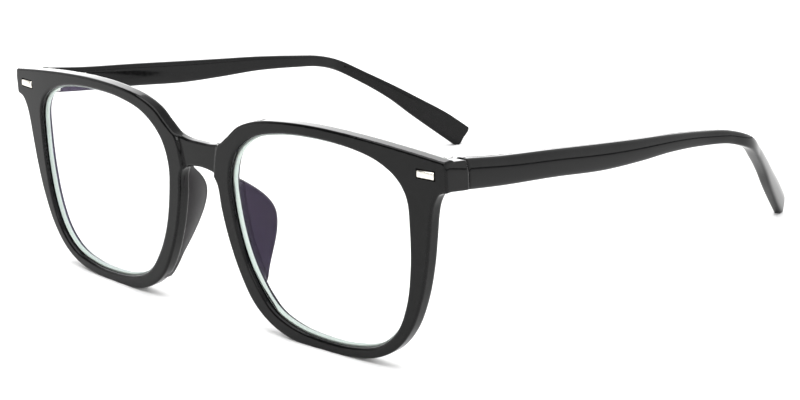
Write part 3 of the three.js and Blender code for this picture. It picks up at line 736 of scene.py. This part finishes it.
def front_leaf():
    y = SEAT_Y + LEAF_GAP - PIN[1]
    half = BARREL_HEIGHT / 2
    outer = INNER_FACE - LEAF_GAP
    base = block("hinge_front_leaf", -FRONT_LEAF_REACH, outer, y, y + LEAF, -half, half)
    joined(base, *(knuckle(n, -1, 1, y + 0.3, 0) for n in (0, 2)))
    holes = []
    for z in LEAF_SCREW_Z:
        to_screw = shift(LEAF_SCREW_X - PIN[0], y, z - PIN[2])
        holes.append(moved(bar("hole", SMALL_HOLE_R, -2, 2), turn("X", math.pi / 2), to_screw))
    cut_from(base, bar("bore", BORE_R, -half - 1, half + 1), *holes)
    return sharpened(moved(bevelled(base, LEAF_BEVEL, 2), to_pin))


def temple_leaf():
    outer = INNER_FACE - LEAF_GAP
    ends = TEMPLE_LEAF_FROM, TEMPLE_LEAF_TO
    strip = block("hinge_temple_leaf", outer - LEAF, outer, *ends, -TEMPLE_LEAF_HALF, TEMPLE_LEAF_HALF)
    holes = []
    for y in TEMPLE_SCREWS:
        holes.append(moved(bar("hole", SMALL_HOLE_R, -2, 4), turn("Y", math.pi / 2), shift(0, y, 0)))
    cut_from(strip, *holes)
    moved(strip, along_temple)
    joined(strip, knuckle(1, outer - LEAF, outer, 0, TEMPLE_LEAF_FROM + 0.4))
    cut_from(strip, bar("bore", BORE_R, -4, 4))
    return sharpened(moved(bevelled(strip, LEAF_BEVEL, 2), to_pin))


def screw(name, r, head_r, head, length):
    """A slotted screw along +z, its domed head's underside at z = 0."""
    point = [(0, -length), (0.3 * r, -length), (0.6 * r, -length), (r, -length + 0.5 * r)]
    underside = [(r, -0.02), (head_r, 0)]
    dome = [(1, 0.45), (0.96, 0.65), (0.84, 0.85), (0.62, 0.97), (0.2, 1), (0, 1)]
    profile = point + underside + [(u * head_r, v * head) for u, v in dome]
    slot = block("slot", -2 * head_r, 2 * head_r, -0.12, 0.12, 0.45 * head, 2 * head)
    return sharpened(cut_from(turned(name, profile), slot))


def hinge_screw():
    obj = screw("hinge_screw", PIN_R, PIN_HEAD_R, PIN_HEAD, BARREL_HEIGHT - 0.3)
    return moved(obj, turn("Z", 0.6), shift(0, 0, BARREL_HEIGHT / 2 + HEAD_CLEAR), to_pin)


def front_leaf_screw(z, turned_by):
    length = LEAF + LEAF_GAP + SMALL_DEPTH
    obj = screw("front_leaf_screw", SMALL_R, SMALL_HEAD_R, SMALL_HEAD, length)
    on_leaf = shift(LEAF_SCREW_X, SEAT_Y + LEAF_GAP + LEAF + HEAD_CLEAR, z)
    return moved(obj, turn("Z", turned_by), turn("X", -math.pi / 2), on_leaf)


def temple_leaf_screw(y, turned_by):
    obj = screw("temple_leaf_screw", SMALL_R, SMALL_HEAD_R, SMALL_HEAD, LEAF + SMALL_DEPTH)
    on_leaf = shift(INNER_FACE - LEAF_GAP - LEAF - HEAD_CLEAR, y, 0)
    return moved(obj, turn("Z", turned_by), turn("Y", -math.pi / 2), on_leaf, along_temple, to_pin)


# ---- materials -----------------------------------------------------------------------------------


class Nodes:
    """Builds one material's node tree in few words."""

    def __init__(self, name):
        self.material = bpy.data.materials.new(name)
        self.material.use_nodes = True
        self.tree = self.material.node_tree
        self.shader = self.tree.nodes["Principled BSDF"]
        self.place = self.add("ShaderNodeTexCoord").outputs["Object"]

    def add(self, kind, **values):
        node = self.tree.nodes.new(kind)
        for key, value in values.items():
            if key in node.inputs:
                node.inputs[key].default_value = value
            else:
                setattr(node, key, value)
        return node

    def link(self, source, target):
        self.tree.links.new(source, target)

    def stretched(self, scale):
        """Object coordinates scaled by axis, per metre."""
        node = self.add("ShaderNodeMapping")
        node.inputs["Scale"].default_value = scale
        self.link(self.place, node.inputs["Vector"])
        return node.outputs[0]

    def noise(self, scale, detail=3.0):
        node = self.add("ShaderNodeTexNoise", Scale=1.0, Detail=detail)
        self.link(self.stretched(scale), node.inputs["Vector"])
        return node.outputs["Fac"]

    def between(self, factor, low, high, start=0.3, end=0.7):
        """A value that goes from low to high as the factor goes from start to end."""
        node = self.add("ShaderNodeMapRange")
        for key, value in (("From Min", start), ("From Max", end), ("To Min", low), ("To Max", high)):
            node.inputs[key].default_value = value
        self.link(factor, node.inputs["Value"])
        return node.outputs[0]

    def colours(self, factor, low, high):
        node = self.add("ShaderNodeValToRGB")
        ramp = node.color_ramp.elements
        ramp[0].position, ramp[0].color = 0.3, (*low, 1)
        ramp[1].position, ramp[1].color = 0.7, (*high, 1)
        self.link(factor, node.inputs["Fac"])
        return node.outputs["Color"]

    def bump(self, height, distance, strength=1.0):
        node = self.add("ShaderNodeBump", Distance=distance, Strength=strength)
        self.link(height, node.inputs["Height"])
        self.link(node.outputs[0], self.shader.inputs["Normal"])

    def settle(self, **values):
        for key, value in values.items():
            self.shader.inputs[key.replace("_", " ")].default_value = value
        return self.material


def gloss_plastic():
    """Polished black: nearly even, with the faint ripple and haze of a moulded surface."""
    n = Nodes("frame_plastic")
    haze = n.noise((900, 900, 900), 4)
    black = n.colours(haze, (0.0030, 0.0032, 0.0032), (0.0056, 0.0056, 0.0058))
    n.link(black, n.shader.inputs["Base Color"])
    n.link(n.between(haze, 0.045, 0.095), n.shader.inputs["Roughness"])
    n.bump(n.noise((110, 70, 110), 2), 0.000006)
    return n.settle(IOR=1.5, Specular_IOR_Level=0.16)


def satin_plastic():
    n = Nodes("pad_plastic")
    grain = n.noise((9000, 9000, 9000), 2)
    black = n.colours(n.noise((400, 400, 400)), (0.006, 0.005, 0.006), (0.010, 0.008, 0.010))
    n.link(black, n.shader.inputs["Base Color"])
    n.link(n.between(grain, 0.3, 0.42), n.shader.inputs["Roughness"])
    n.bump(grain, 0.00001)
    return n.settle(IOR=1.5, Specular_IOR_Level=0.11)


def lens_clear():
    """Clear, with a faint violet gloss from the blue-light filter coating."""
    n = Nodes("lens_clear")
    drift = n.noise((30, 30, 30), 1)
    n.link(n.colours(drift, (0.42, 0.34, 0.72), (0.56, 0.43, 0.76)), n.shader.inputs["Base Color"])
    n.link(n.between(drift, 0.01, 0.025), n.shader.inputs["Roughness"])
    n.settle(Metallic=1.0)
    through = n.add("ShaderNodeBsdfTransparent", Color=(0.990, 0.995, 0.988, 1))
    facing = n.add("ShaderNodeLayerWeight", Blend=0.5).outputs["Facing"]
    edge_on = n.add("ShaderNodeMath", operation="POWER")
    edge_on.inputs[1].default_value = 4.0
    n.link(facing, edge_on.inputs[0])
    mix = n.add("ShaderNodeMixShader")
    n.link(n.between(edge_on.outputs[0], 0.015, 0.5, 0.0, 1.0), mix.inputs[0])
    n.link(through.outputs[0], mix.inputs[1])
    n.link(n.shader.outputs[0], mix.inputs[2])
    n.link(mix.outputs[0], n.tree.nodes["Material Output"].inputs["Surface"])
    return n.material


def lens_ground():
    n = Nodes("lens_ground")
    grain = n.noise((5000, 5000, 5000), 2)
    n.link(n.colours(grain, (0.62, 0.70, 0.65), (0.73, 0.79, 0.74)), n.shader.inputs["Base Color"])
    n.link(n.between(grain, 0.35, 0.55), n.shader.inputs["Roughness"])
    n.bump(grain, 0.00001)
    return n.settle(IOR=1.55)


def metal(name, low, high, grain_scale, rough, bump):
    n = Nodes(name)
    grain = n.noise(grain_scale, 3)
    n.link(n.colours(n.noise((700, 700, 700)), low, high), n.shader.inputs["Base Color"])
    n.link(n.between(grain, *rough), n.shader.inputs["Roughness"])
    n.bump(grain, bump)
    return n.settle(Metallic=1.0)


plastic, satin = gloss_plastic(), satin_plastic()
clear, ground = lens_clear(), lens_ground()
silver = metal(
    "plaque_metal", low=(0.80, 0.76, 0.68), high=(0.92, 0.89, 0.82),
    grain_scale=(800, 4000, 12000), rough=(0.14, 0.3), bump=0.000004,
)
nickel = metal(
    "hinge_metal", low=(0.55, 0.54, 0.51), high=(0.68, 0.67, 0.64),
    grain_scale=(9000, 9000, 1500), rough=(0.2, 0.38), bump=0.000005,
)
steel = metal(
    "screw_steel", low=(0.60, 0.60, 0.60), high=(0.74, 0.74, 0.74),
    grain_scale=(6000, 6000, 6000), rough=(0.15, 0.3), bump=0.000003,
)

# ---- the glasses ---------------------------------------------------------------------------------

place(front(), "front_frame", "frame_plastic", plastic)
place_pair(lens(), "lens", "lens", clear, ground)
place_pair(nose_pad(), "nose_pad", "pad_plastic", satin)
place_pair(plaque(), "rivet_plaque", "plaque_metal", silver)
place_pair(temple(), "temple", "frame_plastic", plastic)
place_pair(front_leaf(), "hinge_front_leaf", "hinge_metal", nickel)
place_pair(temple_leaf(), "hinge_temple_leaf", "hinge_metal", nickel)
place_pair(hinge_screw(), "hinge_screw", "screw_steel", steel)
place_pair(front_leaf_screw(LEAF_SCREW_Z[0], 0.5), "front_leaf_screw_lower", "screw_steel", steel)
place_pair(front_leaf_screw(LEAF_SCREW_Z[1], 1.9), "front_leaf_screw_upper", "screw_steel", steel)
place_pair(temple_leaf_screw(TEMPLE_SCREWS[0], 1.1), "temple_leaf_screw_front", "screw_steel", steel)
place_pair(temple_leaf_screw(TEMPLE_SCREWS[1], 2.5), "temple_leaf_screw_rear", "screw_steel", steel)

# ---- floor, light and camera ---------------------------------------------------------------------


def studio_floor(size=3.0):
    h = size / 2
    corners = [(-h, -h, 0), (h, -h, 0), (h, h, 0), (-h, h, 0)]
    obj = new_object("floor", corners, [(0, 1, 2, 3)], smooth=False)
    n = Nodes("floor_white")
    white = n.colours(n.noise((3, 3, 3), 2), (0.94, 0.94, 0.94), (0.96, 0.96, 0.955))
    n.link(white, n.shader.inputs["Base Color"])
    obj.data.materials.append(n.settle(Roughness=0.9))


def softbox(name, place_at, aim, size, watts):
    """A rectangular area light at a place, in metres, aimed at a point."""
    light = bpy.data.lights.new(name, "AREA")
    light.shape, light.size, light.size_y, light.energy = "RECTANGLE", *size, watts
    obj = bpy.data.objects.new(name, light)
    obj.location = place_at
    obj.rotation_mode = "QUATERNION"
    obj.rotation_quaternion = (Vector(aim) - Vector(place_at)).to_track_quat("-Z", "Y")
    bpy.context.scene.collection.objects.link(obj)


# The room's grey by height, from 0 (straight down) to 1 (straight up). A thin dark band lies at the
# horizon, with a bright one just above it on all sides but the front left, which stays dark.
LIGHT_WALL = [
    (0.0, 0.9), (0.476, 0.8), (0.484, 0.02), (0.505, 0.02), (0.512, 1.7), (0.58, 1.5), (1.0, 0.6),
]
DARK_WALL = [
    (0.0, 0.9), (0.476, 0.8), (0.484, 0.02), (0.52, 0.02), (0.6, 0.04), (0.85, 0.06), (1.0, 0.6),
]
# Where the dark wall turns light: the axis of the direction, and its values at dark and at light.
WALL_ENDS = [("Y", 0.1, 0.4), ("X", -0.7, -0.78), ("X", 0.15, 0.4)]


def room():
    """A white floor and light walls, and a dark front left that draws the black of the plastic."""
    world = bpy.data.worlds.new("room")
    bpy.context.scene.world = world
    world.use_nodes = True
    nodes, links = world.node_tree.nodes, world.node_tree.links
    coord = nodes.new("ShaderNodeTexCoord")
    split = nodes.new("ShaderNodeSeparateXYZ")
    links.new(coord.outputs["Generated"], split.inputs[0])
    height = nodes.new("ShaderNodeMath")
    height.operation = "MULTIPLY_ADD"
    height.inputs[1].default_value, height.inputs[2].default_value = 0.5, 0.5
    links.new(split.outputs["Z"], height.inputs[0])
    light = None
    for axis, dark_at, light_at in WALL_ENDS:
        end = nodes.new("ShaderNodeMapRange")
        end.inputs["From Min"].default_value, end.inputs["From Max"].default_value = dark_at, light_at
        links.new(split.outputs[axis], end.inputs["Value"])
        if light is None:
            light = end.outputs[0]
            continue
        either = nodes.new("ShaderNodeMath")
        either.operation = "MAXIMUM"
        links.new(light, either.inputs[0])
        links.new(end.outputs[0], either.inputs[1])
        light = either.outputs[0]
    mix = nodes.new("ShaderNodeMix")
    mix.data_type = "RGBA"
    links.new(light, mix.inputs["Factor"])
    for wall, socket in ((DARK_WALL, "A"), (LIGHT_WALL, "B")):
        ramp = nodes.new("ShaderNodeValToRGB")
        for at, _ in wall[1:-1]:
            ramp.color_ramp.elements.new(at)
        for element, (at, grey) in zip(ramp.color_ramp.elements, wall):
            element.position, element.color = at, (grey, grey, grey, 1)
        links.new(height.outputs[0], ramp.inputs[0])
        links.new(ramp.outputs[0], next(i for i in mix.inputs if i.name == socket and i.type == "RGBA"))
    links.new(next(o for o in mix.outputs if o.type == "RGBA"), nodes["Background"].inputs[0])


CAMERA_AZ, CAMERA_EL, CAMERA_ROLL = (math.radians(a) for a in (45.0, 17.3917, -2.8671))
CAMERA_DISTANCE, CAMERA_AIM = 387.35, (63.278, 0.0, 15.537)  # mm, in the front's frame
CAMERA_LENS, CAMERA_SENSOR = 87.34, 36.0


def camera():
    back = Vector((math.sin(CAMERA_AZ) * math.cos(CAMERA_EL), -math.cos(CAMERA_AZ) * math.cos(CAMERA_EL),
                   math.sin(CAMERA_EL)))
    right = Vector((0, 0, 1)).cross(back).normalized()
    up = back.cross(right)
    c, s = math.cos(CAMERA_ROLL), math.sin(CAMERA_ROLL)
    axes = Matrix((right * c + up * s, up * c - right * s, back)).transposed().to_4x4()
    place_at = Vector(CAMERA_AIM) + back * CAMERA_DISTANCE
    data = bpy.data.cameras.new("camera")
    data.lens, data.sensor_width, data.clip_start = CAMERA_LENS, CAMERA_SENSOR, 0.01
    obj = bpy.data.objects.new("camera", data)
    obj.matrix_world = Matrix.Translation(STAND @ place_at) @ Matrix.Rotation(lean, 4, "X") @ axes
    bpy.context.scene.collection.objects.link(obj)
    bpy.context.scene.camera = obj


studio_floor()
softbox("overhead", (0.0, -0.1, 1.4), (0, 0, 0), (1.8, 1.4), 24)
softbox("back_left", (-1.25, 1.05, 0.62), (0, 0, 0), (1.5, 1.1), 13)
softbox("key", (0.65, -0.92, 0.47), (0, 0, 0.02), (0.3, 0.3), 1.8)
room()
camera()
bpy.context.scene.view_settings.view_transform = "Standard"
